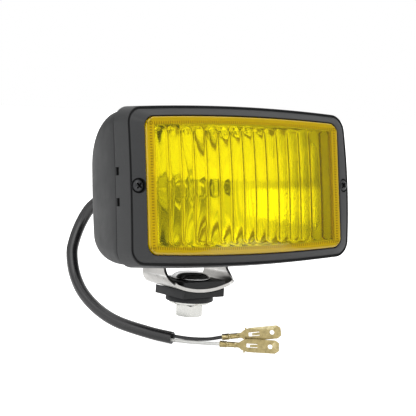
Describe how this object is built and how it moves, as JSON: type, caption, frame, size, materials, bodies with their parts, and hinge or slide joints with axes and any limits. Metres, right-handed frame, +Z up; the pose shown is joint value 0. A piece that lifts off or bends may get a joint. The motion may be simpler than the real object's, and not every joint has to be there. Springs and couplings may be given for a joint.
{
  "type": "fog light",
  "caption": "Rectangular yellow fog light on a curved U-bracket: ribbed glass lens in a black frame, bowl housing, clamp bolt below and a cable with blade terminals.",
  "frame": {"origin": "front of the raised contact ring under the round boss, in the middle plane; the clamp bolt's axis is 11.1 mm behind it", "axes": "+Z up along the clamp bolt, -Y the way the lamp shines, +X to the right seen from in front of the lamp looking along +Y"},
  "size_m": [0.138, 0.1109, 0.1173],
  "materials": {
    "black_plastic": "fine-grained moulded finish",
    "block_plastic": "smooth moulded finish, darker than the housing",
    "yellow_glass": "clear selective-yellow glass, ribbed inside",
    "clear_glass": "clear halogen capsule",
    "reflector_coating": "vacuum-coated mirror",
    "rubber": "matte black rubber",
    "black_screw": "black-coated steel",
    "chrome_plating": "bright plating",
    "bracket_steel": "satin plated strip",
    "spring_steel": "drawn wire",
    "bright_zinc": "bright zinc plating",
    "brass": "dull stamped brass",
    "cable_sheath": "shiny black PVC",
    "black_insulation": "black PVC",
    "white_insulation": "white PVC"
  },
  "bodies": {
    "mount": {"main_bolt": "chrome_plating", "flat_washer": "bright_zinc", "hex_nut": "bright_zinc"},
    "saddle": {"saddle_block": "block_plastic", "upper_pad": "block_plastic"},
    "bracket": {"u_bracket": "bracket_steel", "pivot_bolt": "bright_zinc", "pivot_nut": "bright_zinc", "pivot_washer_left": "bright_zinc", "pivot_washer_right": "bright_zinc", "friction_washer_left": "rubber", "friction_washer_right": "rubber"},
    "lamp": {"rear_housing": "black_plastic", "front_frame": "black_plastic", "lens": "yellow_glass", "lens_gasket": "rubber", "reflector": "reflector_coating", "bulb_glass": "clear_glass", "bulb_base": "bright_zinc", "bulb_clip": "spring_steel", "bulb_lead": "white_insulation", "lead_connector": "rubber", "earth_tag": "brass", "earth_screw": "bright_zinc", "frame_screw_left": "black_screw", "frame_screw_right": "black_screw", "cable_grommet": "rubber", "cable_jacket": "cable_sheath", "core_black": "black_insulation", "core_white": "white_insulation", "earth_terminal": "brass", "feed_terminal": "brass"}
  },
  "joints": [
    {"name": "swivel", "type": "hinge", "parent": "mount", "child": "saddle", "pos_m": [0, 0.0111, 0], "axis": [0, 0, 1], "continuous": true},
    {"name": "roll", "type": "hinge", "parent": "saddle", "child": "bracket", "pos_m": [0, 0.0111, 0.0555], "axis": [0, 1, 0], "range_deg": [-5, 5]},
    {"name": "tilt", "type": "hinge", "parent": "bracket", "child": "lamp", "pos_m": [0, 0.0156, 0.027], "axis": [-1, 0, 0], "range_deg": [-25, 30]}
  ]
}
